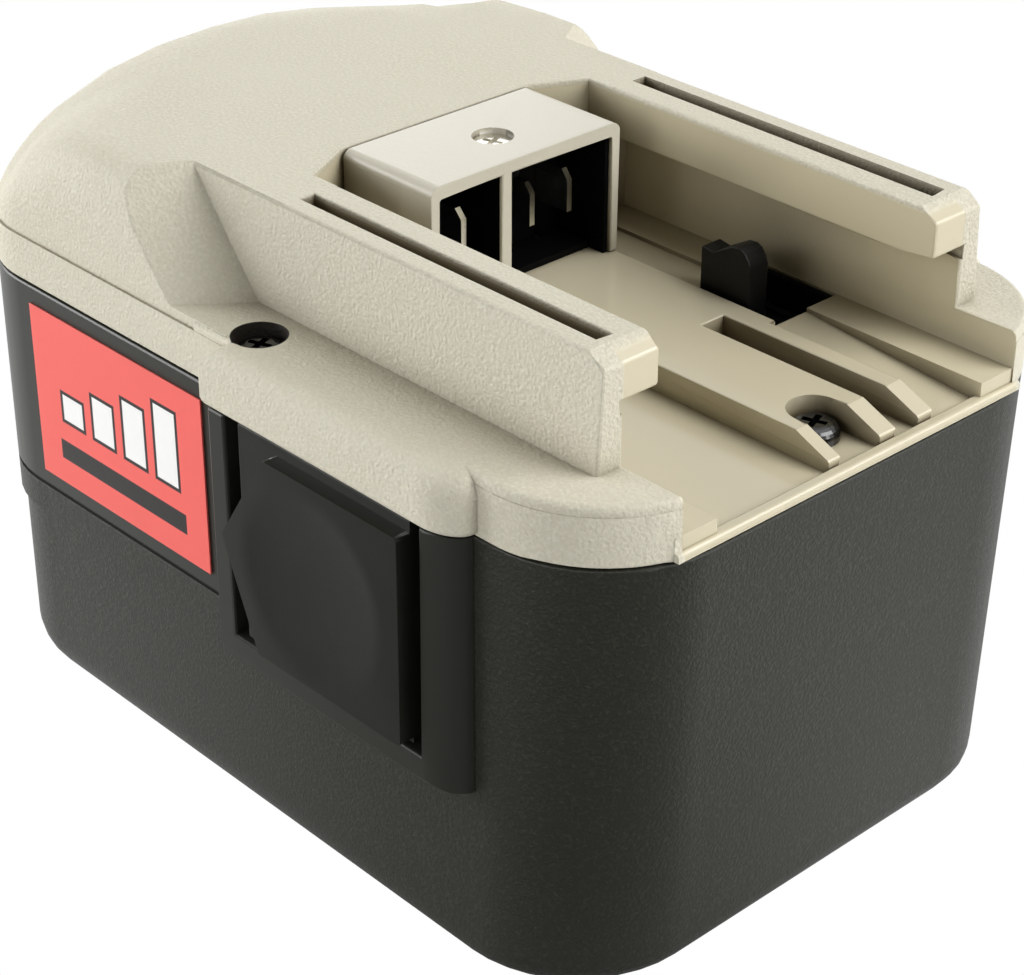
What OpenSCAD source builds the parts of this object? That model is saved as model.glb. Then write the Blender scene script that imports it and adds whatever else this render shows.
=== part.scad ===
// Slide-on battery pack for a cordless tool: a dark case with twelve standing
// cells, a beige cover with two slide rails, a terminal hood and two sprung
// side buttons that draw the locking hooks down through the channel floor.
// Frame: +X is the end that enters the tool, +Z is up, z = 0 is the base.
// "Left" pieces are on the -Y side and "right" pieces on the +Y side.

/* [Cells] */
// Diameter of one cell in its sleeve
cell_d = 22.5; // [21:0.1:24]
// Height of one cell over its button
cell_h = 43; // [40:0.5:50]
// Free space between neighbouring cells
cell_gap = 0.3; // [0.2:0.1:1]
// Diameter of a cell's positive button
cell_button_d = 9; // [6:0.5:12]
// Height of a cell's positive button
cell_button_h = 1; // [0.6:0.1:2]
// Thickness of the welded straps
strap_t = 0.2; // [0.1:0.05:0.4]
// Width of the welded straps
strap_w = 7; // [4:0.5:9]

/* [Case] */
// Wall of the case and of the cover
wall = 2.5; // [2:0.1:3]
// Thickness of the case floor
floor_t = 2.5; // [2:0.1:4]
// Pad under the cells
pad_t = 0.8; // [0.4:0.1:2]
// Card over the cells
card_t = 0.8; // [0.4:0.1:1.5]
// Space between the cell block and a side wall
side_gap = 3.2; // [2.2:0.1:4]
// Space between the cell block and an end wall
end_gap = 11.4; // [9:0.1:16]
// Room over the cells for latches and leads
latch_room = 11; // [10.5:0.5:16]
// Plan radius of the front corners
front_r = 16.4; // [10:0.2:18]
// Plan radius of the rear corners
rear_r = 14.8; // [10:0.2:18]
// Height of the rounding along the bottom edge
base_r = 5; // [3:0.5:6]
// How far that rounding runs in at the sides
base_side = 2.4; // [1:0.1:5]
// How far it runs in at the front
base_front = 7.5; // [3:0.1:9]
// How far it runs in at the rear
base_rear = 3.5; // [2:0.1:6]
// How far the front wall leans in from top to bottom
front_draft = 1.8; // [0:0.1:2.5]
// Height of the belt, under which the rear steps in
belt_z = 25; // [20:0.5:27]
// Depth of the step under the belt
belt_step = 0.45; // [0.2:0.05:0.8]
// Height of the groove under the label panels
groove_z = 29.4; // [28:0.2:31]
// Height of that groove
groove_h = 0.6; // [0.4:0.1:1]
// Depth of that groove
groove_d = 0.5; // [0.3:0.1:0.9]

/* [Cover] */
// Shadow gap between case and cover
joint_gap = 0.3; // [0.2:0.1:0.6]
// Height of the cover over the joint
cover_h = 21; // [19:0.5:24]
// Height of the plain band under the dome
band_h = 6.1; // [4:0.1:7]
// Step from the band in to the dome
band_step = 0.35; // [0.2:0.05:0.6]
// Height of the ledges beside the rails
ledge_h = 7.4; // [7:0.1:9]
// Radius along the ledges' outer edge
ledge_r = 0.8; // [0.4:0.1:1.6]
// How far the dome's edge curves in
dome_in = 8.5; // [6:0.1:9]
// How far the rear corners of the deck droop
dome_droop = 7.3; // [3:0.1:8]
// Distance from the rear end at which the droop starts
dome_run = 31; // [26:0.2:34]
// Channel floor over the joint
channel_h = 0.2; // [0.1:0.1:1]
// Thickness of the channel floor
channel_t = 1.6; // [1.2:0.1:2.2]
// Rim across the front of the channel, over the joint
rim_h = 1; // [0.6:0.1:1.4]
// Side strips over the channel floor
strip_h = 2.6; // [2:0.1:3.2]
// Middle plateau over the channel floor
plateau_h = 3.5; // [3.3:0.1:4.4]

/* [Rails] */
// Width of the channel between the rail walls
channel_w = 55; // [50:0.5:56]
// Thickness of the rail walls
rail_t = 4.1; // [3:0.1:4.8]
// Reach of the rails over the channel
rail_reach = 5.1; // [4.5:0.1:6]
// Height of the overhanging part of a rail
rail_h = 6.6; // [5.6:0.1:8]
// Distance from the front end to the rails' ends
rail_back = 9.5; // [7:0.1:12]
// Chamfer at the rails' top ends
rail_chamfer = 2.4; // [1:0.2:3.6]
// Width of the slots in the rail tops
slot_w = 2.3; // [1.6:0.1:2.6]
// Depth of the slots in the rail tops
slot_d = 4.4; // [2:0.2:5]
// Length of the slots in the rail tops
slot_l = 49.8; // [30:0.2:50]
// How far the rails' outer faces lean in
rail_lean = 1.1; // [0:0.1:1.4]
// Edge radius of the rails
rail_r = 0.5; // [0.3:0.1:1.2]

/* [Hood] */
// Distance from the front end to the hood's face
hood_back = 53; // [50:0.5:55]
// Length of the hood
hood_l = 16.3; // [14:0.1:18]
// Width of the hood
hood_w = 30.8; // [28:0.2:31]
// Offset of the hood to the right
hood_off = 0; // [-0.4:0.1:0.4]
// Wall of the hood
hood_t = 1.3; // [1:0.1:1.6]
// Radius along the hood's top edges
hood_r = 1.4; // [1:0.2:3]
// Gap behind the hood
hood_gap = 0.5; // [0.1:0.1:0.8]
// Thickness of a contact blade
blade_t = 0.8; // [0.5:0.1:1.2]
// Height of a contact blade over the cavity floor
blade_h = 11; // [9:0.2:12]

/* [Latches] */
// How far a button is pressed and a hook drawn down
latch_travel = 3.5; // [2:0.1:3.5]
// How far the housings stand out from the case
housing_out = 3.1; // [2.8:0.1:4.5]
// Length of a housing along the case
housing_l = 42.1; // [41:0.1:46]
// Length of the rounding at a housing's front edge
housing_r = 5.4; // [2:0.2:6]
// Width of the frame around a button
frame_w = 3; // [2:0.1:3.5]
// Slot at each end of a button
button_slot = 1.9; // [1:0.1:2.2]
// Thickness of a button's base plate
plate_t = 1.8; // [1.4:0.1:2.2]
// Height of the raised face on the base plate
face_t = 2; // [1.2:0.1:2.4]
// Radius of the dish in the raised face
dish_r = 13; // [9:0.2:13]
// Depth of the dish
dish_d = 0.6; // [0.3:0.1:0.9]
// Width of a bolt's foot
bolt_w = 5.6; // [5:0.1:6]
// Length of a bolt's foot
bolt_l = 11.4; // [9:0.1:12]
// Width of the hook on a bolt
hook_w = 3.3; // [2.5:0.1:4]
// Length of the hook on a bolt
hook_l = 8; // [6:0.1:8]
// Height of the hook over the channel floor
hook_h = 10.2; // [8:0.1:11]
// Clearance of the sliding pieces
slide_gap = 0.3; // [0.2:0.05:0.5]
// Wire of the button springs
button_wire = 0.6; // [0.4:0.05:0.8]
// Wire of the hook springs
bolt_wire = 0.45; // [0.3:0.05:0.5]

/* [Screws and labels] */
// Shank diameter of the cover screws
screw_d = 3; // [2.5:0.1:3.5]
// Head diameter of the cover screws
screw_head_d = 6; // [5:0.1:6.2]
// Diameter of the ledge holes over the screw heads
screw_hole_d = 6.6; // [6.2:0.1:7]
// Length of a cover screw under its head
screw_l = 11; // [8:0.5:14]
// Head diameter of the hood screw
hood_screw_d = 4.8; // [4:0.1:5.4]
// Length of a label
label_l = 35.3; // [30:0.1:36]
// Height of a label
label_h = 24; // [20:0.1:25]
// Thickness of a label
label_t = 0.25; // [0.1:0.05:0.4]

/* [Hidden] */
$fn = 64;
cell_cols = 4;
cell_rows = 3;
cell_count = cell_cols * cell_rows;
pitch = cell_d + cell_gap;
sleeve_fit = 0.05;
thread_fit = 0.05;
head_fit = 0.2;

// Heights, from the base up
z_strap = floor_t + pad_t;
z_cell = z_strap + strap_t;
z_cell_top = z_cell + cell_h;
z_card = z_cell_top + strap_t;
z_card_top = z_card + card_t;
case_h = z_card_top + latch_room;
z_joint = case_h + joint_gap;
z_band = z_joint + band_h;
z_ledge = z_joint + ledge_h;
z_top = z_joint + cover_h;
z_floor = z_joint + channel_h;
z_under = z_floor - channel_t;
z_strip = z_floor + strip_h;
z_plateau = z_floor + plateau_h;
z_rail = z_top - rail_h;

// Plan sizes, from the cell block out
half_w = cell_rows * pitch / 2 + side_gap + wall;
half_l = cell_cols * pitch / 2 + end_gap + wall;
half_channel = channel_w / 2;
rail_in = half_channel - rail_reach;
rail_out = half_channel + rail_t;
rail_x1 = half_l - rail_back;
floor_x1 = half_l - wall - slide_gap;

// Hood and what stands in it
hood_x1 = half_l - hood_back;
hood_x0 = hood_x1 - hood_l;
hood_screw_x = hood_x1 - 7;
hood_screw_y = hood_off + 0.7;
divider_y = hood_off - 3.4;
divider_t = 1.8;
divider_l = 0.6;
carrier_fit = 0.1;
carrier_x0 = hood_x0 + hood_gap + hood_t + carrier_fit;
carrier_face = hood_x1 - 9;
carrier_floor = 0.9;
carrier_x1 = hood_x1 - 3;
blade_front = hood_x1 - 3.3;
blade_fit = 0.05;
blade_ys = [for (share = [-0.2405, 0.1235, 0.328]) hood_off + share * hood_w];
tail_x = carrier_face - 3.2;
tail_l = 2.4;
tail_z = z_under - 5.5;

// Wells beside the hood, with their slanting back walls
well_x0 = hood_x0;
well_x1 = hood_x0 + 3.6;

// Front fingers of the plateau
finger_x = half_l - 1.8;
finger_slope_x = half_l - 6.7;
finger_tip_h = 1.5;
plateau_y0 = -3.2;
plateau_y1 = 15.4;
finger_y1 = 14.5;
finger_step_x = half_l - 26.5;
notch_y = 2.05;
notch_r = 3.35;
notch_x = half_l - 8.5;
slot_y0 = 8.1;
slot_y1 = 12;
slot_x0 = half_l - 31.7;
strip_in = half_channel - 5.6;
lane_top = z_strip - 0.5;
lane_end = z_floor + 0.15;
lane_x = half_l - 27;

// Latch housings and buttons, drawn for the right side
housing_x0 = half_l - 61;
housing_x1 = housing_x0 + housing_l;
housing_z0 = belt_z + 0.3;
housing_y = half_w + housing_out;
lip_over = 0.6;
lip_more = 2.8;
lip_r = 2.9;
pocket_x0 = housing_x0 + frame_w;
pocket_x1 = pocket_x0 + 33.7;
pocket_z0 = housing_z0 + frame_w + 0.4;
plate_x0 = pocket_x0 + button_slot;
plate_x1 = pocket_x1 - button_slot;
plate_z0 = pocket_z0 + 0.4;
plate_z1 = z_joint - 0.6;
plate_y = housing_y - 0.5;
plate_in = plate_y - plate_t;
pocket_y = plate_in - latch_travel - 0.4;
pocket_wall = 1.2;
face_y = plate_y + face_t;
face_top = plate_z1 - 1.4;
face_low = plate_z0 + 0.6;
face_tip_z = (plate_z0 + plate_z1) / 2;
dish_x = (plate_x0 + plate_x1) / 2 - 0.4;
dish_z = face_tip_z - 0.6;

// Bolts with their hooks and guides, drawn for the right side
bolt_x0 = half_l - 42.5;
bolt_y0 = plateau_y1 + 0.5;
bolt_y1 = bolt_y0 + bolt_w;
hook_x0 = bolt_x0 + 3.2;
hook_top = z_floor + hook_h;
bolt_low = z_under - 5.4;
bolt_bore_d = 4.2;
bolt_bore_top = z_under - 1.2;
wedge_top = z_under - 0.4;
wedge_y = bolt_y1 + latch_travel + slide_gap;
wedge_fit = 0.3;
arm_z0 = z_under - 4.8;
arm_z1 = z_under - 0.3;
arm_x0 = bolt_x0 + 1;
arm_x1 = bolt_x0 + bolt_l - 0.9;
open_x0 = hook_x0 - 0.4;
open_x1 = bolt_x0 + bolt_l + 3.9;
open_y0 = plateau_y1 + 0.1;
open_y1 = half_channel - 0.2;
guide_t = 1.2;
guide_z0 = z_card_top + 0.1;
guide_seat = guide_z0 + 0.8;
guide_y1 = wedge_y + 5.2;
prong_x0 = plate_x0 + 3;
prong_x1 = prong_x0 + 8;
prong_y = pocket_y - pocket_wall - 1.2;
seat_y = prong_y - 10;
spring_fit = 0.2;
button_spring_r = 2.3;
button_spring_x = (prong_x0 + prong_x1) / 2;
button_spring_z = (arm_z0 + arm_z1) / 2;
bolt_spring_r = 1.5;
bolt_spring_x = bolt_x0 + bolt_l / 2;
bolt_spring_y = (bolt_y0 + bolt_y1) / 2;

// Screws
ledge_screw_x = housing_x0 + 2.1;
ledge_screw_y = half_w - 3.4;
ledge_seat = z_joint + 4.3;
boss_d = screw_d + 3.4;
front_boss_z = z_under;
screw_head_h = 2;
hood_screw_h = 0.6;

// Labels
label_x1 = housing_x0 - 5.3;
label_z1 = case_h - 2.4;

// Shape of the dome's deck
droop_x = -half_l + dome_run;
droop_l = 46.8;
droop_w = 38.8;
droop_start = 0.45;
dome_x1 = hood_x0 + 8;
dome_power = 0.55;
arc_n = 10;
skin = 0.06;

LEFT_RIGHT = ["left", "right"];

// Points and outlines

function unit(v) = v / norm(v);

function arc_points(c, r, a0, a1, n) =
    [for (k = [0 : n]) c + r * [cos(a0 + (a1 - a0) * k / n), sin(a0 + (a1 - a0) * k / n)]];

// One corner of an outline, rounded to radius r
function round_corner(a, b, c, r, n) =
    r <= 0 ? [b] :
    let (u = unit(a - b), v = unit(c - b), half = acos(u * v) / 2,
         m = b + unit(u + v) * r / sin(half), p = b + u * r / tan(half), q = b + v * r / tan(half),
         a0 = atan2(p.y - m.y, p.x - m.x), a1 = atan2(q.y - m.y, q.x - m.x),
         d = a1 - a0, turn = d > 180 ? d - 360 : d < -180 ? d + 360 : d)
    arc_points(m, r, a0, a0 + turn, n);

// An outline given as [point, corner radius] pairs
function rounded(list, n = 5) =
    let (m = len(list))
    [for (i = [0 : m - 1])
        each round_corner(list[(i + m - 1) % m][0], list[i][0], list[(i + 1) % m][0], list[i][1], n)];

// Plan of the pack, inset by i, clockwise from above; the ends may be further in, and the rear stepped
function plan_points(i, front = 0, rear = 0, step = 0) =
    let (hw = half_w - i, xf = half_l - i - front, xr = -half_l + i + rear + step,
         rf = max(front_r - i, 0.4), rr = max(rear_r - i, 0.4), hr = hw - step)
    concat(
        arc_points([xf - rf, -(hw - rf)], rf, 0, -90, arc_n),
        arc_points([xr + rr, -(hr - rr)], rr, -90, -180, arc_n),
        arc_points([xr + rr, hr - rr], rr, 180, 90, arc_n),
        arc_points([xf - rf, hw - rf], rf, 90, 0, arc_n));

// Rear part of the plan for the dome, with extra points along the straights
function dome_points(i) =
    let (hw = half_w - band_step - i, xr = -half_l + band_step + i, r = max(rear_r - band_step - i, 0.4),
         side = [dome_x1, droop_x, (droop_x + xr + r) / 2])
    concat(
        [for (x = side) [x, -hw]],
        arc_points([xr + r, -(hw - r)], r, -90, -180, arc_n),
        [for (k = [-2 : 2]) [xr, k * (hw - r) / 3]],
        arc_points([xr + r, hw - r], r, 180, 90, arc_n),
        [for (k = [2 : -1 : 0]) [side[k], hw]]);

// Height of the deck: flat, with the rear corners drooping
function deck_z(p, top) =
    let (back = max(droop_x - p.x, 0) / droop_l, side = p.y / droop_w,
         far = sqrt(back * back + side * side * min(2 * back, 1)))
    top - 4.2 * dome_droop * pow(max(far - droop_start, 0), 2);

// One ring of the dome's edge, from its foot (t = 0) to the deck (t = 90)
function dome_ring(t, inset, foot, top) =
    [for (p = dome_points(inset + dome_in * (1 - pow(cos(t), dome_power))))
        [p.x, p.y, foot + (deck_z(p, top) - foot) * pow(sin(t), dome_power)]];

// Stacked rings of points as one closed solid, with a middle point in each end face
module ring_solid(rings) {
    n = len(rings[0]);
    m = len(rings);
    low = middle(rings[0]);
    high = middle(rings[m - 1]);
    polyhedron(
        points = concat([for (r = rings) each r], [low, high]),
        faces = concat(
            [for (i = [0 : n - 1]) [(i + 1) % n, i, m * n]],
            [for (j = [0 : m - 2], i = [0 : n - 1]) each [
                [j * n + i, j * n + (i + 1) % n, (j + 1) * n + (i + 1) % n],
                [j * n + i, (j + 1) * n + (i + 1) % n, (j + 1) * n + i]]],
            [for (i = [0 : n - 1]) [(m - 1) * n + i, (m - 1) * n + (i + 1) % n, m * n + 1]]));
}

function middle(ring) = [for (p = ring) 1] * ring / len(ring);

// The domed rear block, or the hollow inside it
module dome_block(inset, foot, top) {
    edge = [for (t = [0 : 11.25 : 90]) dome_ring(t, inset, foot, top)];
    last = edge[len(edge) - 1];
    mid = [(dome_x1 - half_l) / 2, 0];
    deck = [for (s = [0.85, 0.65, 0.4, 0.15])
        [for (p = last) let (q = mid + s * ([p.x, p.y] - mid)) [q.x, q.y, deck_z(q, top)]]];
    ring_solid(concat(edge, deck));
}

// A tube swept along points, with its end faces square to the first and last run
function tube_ring(p, dir, r, n) =
    let (d = unit(dir), side = unit(cross(d, abs(d.z) > 0.9 ? [1, 0, 0] : [0, 0, 1])), up = cross(side, d))
    [for (k = [0 : n - 1]) p + r * (side * cos(360 * k / n) + up * sin(360 * k / n))];

function path_dir(path, i) = path[min(i + 1, len(path) - 1)] - path[max(i - 1, 0)];

module tube(path, r, n = 8) {
    ring_solid([for (i = [0 : len(path) - 1]) tube_ring(path[i], path_dir(path, i), r, n)]);
}

// Centre line of a coil spring of length l along +Z
function coil_path(r, l, turns) =
    [for (k = [0 : turns * 8]) [r * cos(45 * k), r * sin(45 * k), l * k / (turns * 8)]];

function coil_gap(path, wire) =
    min([for (i = [0 : len(path) - 9]) norm(path[i + 8] - path[i])]) - wire;

module coil(r, l, turns, wire) {
    path = coil_path(r, l - wire, turns);
    echo(least_gap_between_curls = coil_gap(path, wire));
    translate([0, 0, wire / 2])
        ring_solid([for (i = [0 : len(path) - 1]) tube_ring(path[i], path_dir(path, i), wire / 2, 6)]);
}

// Shapes shared by the pieces

module plan(i = 0) {
    hw = half_w - i;
    xf = half_l - i;
    xr = -half_l + i;
    rf = front_r - i;
    rr = rear_r - i;
    translate([xr + rr, -hw]) square([xf - rf - xr - rr, 2 * hw]);
    translate([xr, -(hw - rr)]) square([rr + 1, 2 * (hw - rr)]);
    translate([xf - rf - 1, -(hw - rf)]) square([rf + 1, 2 * (hw - rf)]);
    for (s = [-1, 1]) {
        translate([xr + rr, s * (hw - rr)]) circle(rr);
        translate([xf - rf, s * (hw - rf)]) circle(rf);
    }
}

module slab(z0, z1) {
    translate([0, 0, z0]) linear_extrude(z1 - z0) children();
}

module block(a, b) {
    translate(a) cube(b - a);
}

// An outline in Y and Z, drawn out along X
module along_x(x0, x1) {
    translate([x0, 0, 0]) rotate([90, 0, 90]) linear_extrude(x1 - x0) children();
}

// An outline in X and Z, drawn out along Y
module along_y(y0, y1) {
    translate([0, y1, 0]) rotate([90, 0, 0]) linear_extrude(y1 - y0) children();
}

module both_sides() {
    children();
    mirror([0, 1, 0]) children();
}

module on_side(side) {
    if (side == "right") children();
    else mirror([0, 1, 0]) children();
}

// Points of that plan, clockwise from above, with a long rounding at the front
function housing_points(g, more = 0) =
    let (x0 = housing_x0 - g, mx = housing_x1 + more - housing_r, a = housing_r + g, b = housing_out + g)
    concat([[mx + a, half_w - wall], [x0, half_w - wall], [x0, half_w + b]],
        [for (t = [0 : 10 : 90]) [mx + a * sin(t), half_w + b * cos(t)]]);

// Plan of a latch housing, or of the lip over it, grown by g
module housing_plan(g = 0) {
    polygon(housing_points(g));
}

// Case

// How far the front wall has leant in at height z
function front_lean(z) = front_draft * (1 - max(z, 0) / case_h);

// One ring round the bottom edge, from the base (t = 0) to the side (t = 90)
function base_ring(t, z) =
    let (share = 1 - sin(t))
    [for (p = plan_points(skin + base_side * share, front_lean(z) + (base_front - base_side) * share,
                          (base_rear - base_side) * share, belt_step)) [p.x, p.y, z]];

module lower_case() {
    outside = concat(
        [base_ring(0, -1)],
        [for (t = [0 : 15 : 90]) base_ring(t, base_r * (1 - cos(t)))],
        [base_ring(90, belt_z)],
        [for (z = [belt_z + 0.1, case_h + 1]) [for (p = plan_points(skin, front_lean(z))) [p.x, p.y, z]]]);
    color("#3b3c38") difference() {
        union() {
            intersection() {
                ring_solid(outside);
                block([-2 * half_l, -2 * half_w, 0], [2 * half_l, 2 * half_w, case_h]);
            }
            both_sides() latch_housing();
        }
        difference() {
            slab(floor_t, case_h + 1) plan(wall);
            block([half_l - wall - front_draft, -half_w, 0], [half_l, half_w, z_under - 1]);
            both_sides() housing_back();
            both_sides() screw_boss(ledge_screw_x, ledge_screw_y, case_h - 9, case_h);
            screw_boss(notch_x, notch_y, front_boss_z - 12, front_boss_z);
            block([notch_x, notch_y - 1, front_boss_z - 12], [half_l, notch_y + 1, front_boss_z - 1]);
            end_ribs();
        }
        label_groove();
        both_sides() button_pocket();
        both_sides() screw_bore(ledge_screw_x, ledge_screw_y, ledge_seat);
        screw_bore(notch_x, notch_y, z_floor);
    }
}

module latch_housing() {
    intersection() {
        slab(housing_z0, case_h) housing_plan();
        along_y(0, 2 * housing_y) polygon(rounded([
            [[housing_x0, housing_z0], 2], [[housing_x1 + 1, housing_z0], 0],
            [[housing_x1 + 1, case_h], 0], [[housing_x0, case_h], 0]]));
    }
}

// Thin wall behind the button, standing in from the case wall
module housing_back() {
    block([pocket_x0 - 1.5, pocket_y - pocket_wall, pocket_z0 - 1.5], [pocket_x1 + 1.5, half_w, case_h]);
}

module button_pocket() {
    block([pocket_x0, pocket_y, pocket_z0], [pocket_x1, housing_y + 1, case_h + 1]);
    block([arm_x0 - slide_gap, pocket_y - pocket_wall - 1, arm_z0 - slide_gap],
          [arm_x1 + slide_gap, pocket_y + 1, case_h + 1]);
    block([prong_x0 - slide_gap, pocket_y - pocket_wall - 1, arm_z0 - slide_gap],
          [prong_x1 + slide_gap, pocket_y + 1, case_h + 1]);
}

module screw_boss(x, y, z0, z1) {
    translate([x, y, z0]) cylinder(d = boss_d, h = z1 - z0);
}

module screw_bore(x, y, seat) {
    translate([x, y, seat - screw_l - 0.5]) cylinder(d = screw_d + 2 * thread_fit, h = screw_l + 1);
}

// Upright ribs that hold the cell block between the end walls
module end_ribs() {
    rib_t = 1.8;
    rib_x = cell_cols * pitch / 2;
    for (r = [0 : cell_rows - 1], s = [-1, 1])
        translate([s > 0 ? rib_x : -half_l, cell_y(r) - rib_t / 2, 0])
            cube([half_l - rib_x, rib_t, z_cell_top - 6]);
}

module label_groove() {
    difference() {
        slab(groove_z, groove_z + groove_h) square([4 * half_l, 4 * half_w], center = true);
        slab(groove_z - 1, groove_z + groove_h + 1) plan(groove_d);
        block([housing_x0 - 0.5, -2 * half_w, 0], [2 * half_l, 2 * half_w, z_top]);
    }
}

// Cover

module top_cover() {
    color("#d6d0c0") difference() {
        union() {
            difference() {
                union() {
                    slab(z_joint, z_band) plan();
                    dome_block(0, z_band - 0.5, z_top);
                    front_ledge();
                    lip(lip_more);
                    mirror([0, 1, 0]) lip(0);
                }
                wells();
                both_sides() scoop();
                cover_hollow();
            }
            both_sides() rail();
            channel_floor();
            front_rim();
            hold_down_ribs();
            both_sides() screw_boss(ledge_screw_x, ledge_screw_y, z_joint, ledge_seat + 1);
        }
        block([open_x0, open_y0, z_under - 1], [open_x1, open_y1, z_plateau + 1]);
        block([open_x0, -open_y1, z_under - 1], [open_x1, -open_y0, z_plateau + 1]);
        both_sides() translate([ledge_screw_x, ledge_screw_y, ledge_seat])
            cylinder(d = screw_hole_d, h = cover_h);
        both_sides() screw_bore(ledge_screw_x, ledge_screw_y, ledge_seat);
        screw_bore(notch_x, notch_y, z_floor);
        block([tail_x - 1.2, blade_ys[0] - 3, z_under - 1], [tail_x + tail_l + 0.8, blade_ys[2] + 3, z_plateau + 1]);
    }
}

// Ledges beside the rails, with a round outer edge
module front_ledge() {
    intersection() {
        ring_solid(concat(
            [[for (p = plan_points(skin)) [p.x, p.y, z_joint + 1]]],
            [for (t = [0 : 22.5 : 90]) [for (p = plan_points(skin + ledge_r * (1 - cos(t))))
                [p.x, p.y, z_ledge - ledge_r * (1 - sin(t))]]]));
        block([housing_x0 - 6, -2 * half_w, 0], [2 * half_l, 2 * half_w, z_top]);
    }
}

// The lip over a latch housing, with a round top edge and a small one below
module lip(more) {
    function ring(i, z) = [for (p = housing_points(lip_over - i, more)) [p.x, p.y, z]];
    ring_solid(concat(
        [ring(0.5, z_joint), ring(0, z_joint + 0.6)],
        [for (t = [0 : 15 : 90]) ring(lip_r * (1 - cos(t)), z_ledge - lip_r * (1 - sin(t)))]));
}

// Open space over the channel floor, back to the wells beside the hood
module wells() {
    back = [[well_x0, -hood_w / 2 + hood_off], [well_x0, hood_w / 2 + hood_off]];
    slab(z_floor, z_top + 1) polygon([
        [2 * half_l, -rail_in], [well_x1, -rail_in], back[0], back[1], [well_x1, rail_in],
        [2 * half_l, rail_in]]);
    slab(z_floor, z_rail) polygon([
        [2 * half_l, -half_channel], [well_x1 + 2, -half_channel], [well_x1, -rail_in], [well_x1, rail_in],
        [well_x1 + 2, half_channel], [2 * half_l, half_channel]]);
}

// Low rim across the front of the channel
module front_rim() {
    along_y(-half_channel - 1, half_channel + 1) polygon(rounded([
        [[half_l - 1.6, z_joint], 0], [[half_l - 0.02, z_joint], 0],
        [[half_l - 0.02, z_joint + rim_h], 0.5], [[half_l - 1.6, z_joint + rim_h], 0.3]]));
}

// How far out a rail's leaning outer face is at height z
function rail_face(z) = rail_out - rail_lean * (z - z_joint - 1) / (cover_h - 1);

// Slanting cut at the front of the dome, beside the rail
module scoop() {
    slope = [1, 0.75, 0.967];
    foot = [hood_x0 - 9.8, rail_out, z_top];
    intersection() {
        translate(foot)
            rotate([0, acos(slope.z / norm(slope)), atan2(slope.y, slope.x)])
                translate([-60, -60, 0]) cube([120, 120, 60]);
        along_x(-half_l, half_l) polygon([
            [rail_face(z_ledge) - 0.3, z_ledge], [rail_face(z_top) - 0.3, z_top + 1],
            [2 * half_w, z_top + 1], [2 * half_w, z_ledge]]);
    }
}

module cover_hollow() {
    inner_x = hood_x0 - 2.4;
    intersection() {
        union() {
            dome_block(wall, z_band - 1, z_top - wall);
            slab(z_joint - 1, z_band + 0.5) plan(wall);
        }
        union() {
            block([-2 * half_l, -half_w, 0], [hood_x0 - 24, half_w, z_top]);
            block([-2 * half_l, -rail_out + wall, 0], [inner_x, rail_out - wall, z_top]);
        }
    }
    both_sides() block([housing_x0 - 2, rail_out - 1, z_joint - 1], [rail_x1, half_w - wall, z_ledge - wall]);
}

module rail() {
    x0 = hood_x0 - 2.4;
    mid = (half_channel + rail_in + slot_w) / 2 + 0.9;
    along_x(x0 - 12, x0 + 1) polygon(rounded([
        [[rail_face(z_top) - 2.5, z_ledge - 1], 0], [[rail_face(z_top) - 2.5, z_top], 0],
        [[rail_face(z_top), z_top], rail_r], [[rail_face(z_ledge - 1), z_ledge - 1], 0]]));
    difference() {
        along_x(x0, rail_x1) polygon(rounded([
            [[rail_in, z_rail], rail_r], [[rail_in, z_top], rail_r], [[rail_out - rail_lean, z_top], rail_r],
            [[rail_out, z_joint + 1], 0], [[half_channel, z_joint + 1], 0], [[half_channel, z_rail], 0.6]]));
        block([rail_x1 - 3.6 - slot_l, mid - slot_w / 2, z_top - slot_d], [rail_x1 - 3.6, mid + slot_w / 2, z_top + 1]);
        along_y(0, half_w) polygon([
            [rail_x1 - rail_chamfer, z_top + 0.01], [rail_x1 + 0.01, z_top - 0.65 * rail_chamfer],
            [rail_x1 + 0.01, z_top + 0.01]]);
        along_y(rail_in - 1, half_channel + 0.5) polygon([
            [rail_x1 - 9, z_rail], [rail_x1 + 0.01, z_rail - 1], [rail_x1 + 0.01, z_rail + 0.7]]);
    }
}

// Floor of the channel with its strips, ramp, plateau and front fingers
module channel_floor() {
    x0 = hood_x0 - 2.4;
    plate_y1 = half_channel + 1.2;
    block([x0, -plate_y1, z_under], [floor_x1, plate_y1, z_floor]);
    both_sides() block([well_x1 - 1, strip_in, z_floor], [half_l - 0.7, half_channel + 1, z_strip]);
    along_y(plateau_y1 - 1, strip_in + 0.5) polygon([
        [well_x0, z_floor - 0.5], [half_l - 1, z_floor - 0.5], [half_l - 1, lane_end],
        [lane_x, lane_top], [well_x0, lane_top]]);
    block([x0, -hood_w / 2 + hood_off, z_floor - 0.5], [hood_x1, hood_w / 2 + hood_off, z_plateau]);
    difference() {
        along_y(plateau_y0, plateau_y1) polygon(rounded([
            [[x0, z_floor - 0.5], 0], [[finger_x, z_floor - 0.5], 0], [[finger_x, z_floor + finger_tip_h], 0.4],
            [[finger_slope_x, z_plateau], 0.6], [[x0, z_plateau], 0]]));
        slab(z_floor, z_plateau + 1) translate([notch_x, notch_y]) circle(notch_r);
        block([notch_x, notch_y - notch_r, z_floor], [half_l, notch_y + notch_r, z_plateau + 1]);
        block([slot_x0, slot_y0, z_floor], [half_l, slot_y1, z_plateau + 1]);
        block([finger_step_x, finger_y1, z_floor], [half_l, plateau_y1 + 1, z_plateau + 1]);
    }
}

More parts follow.
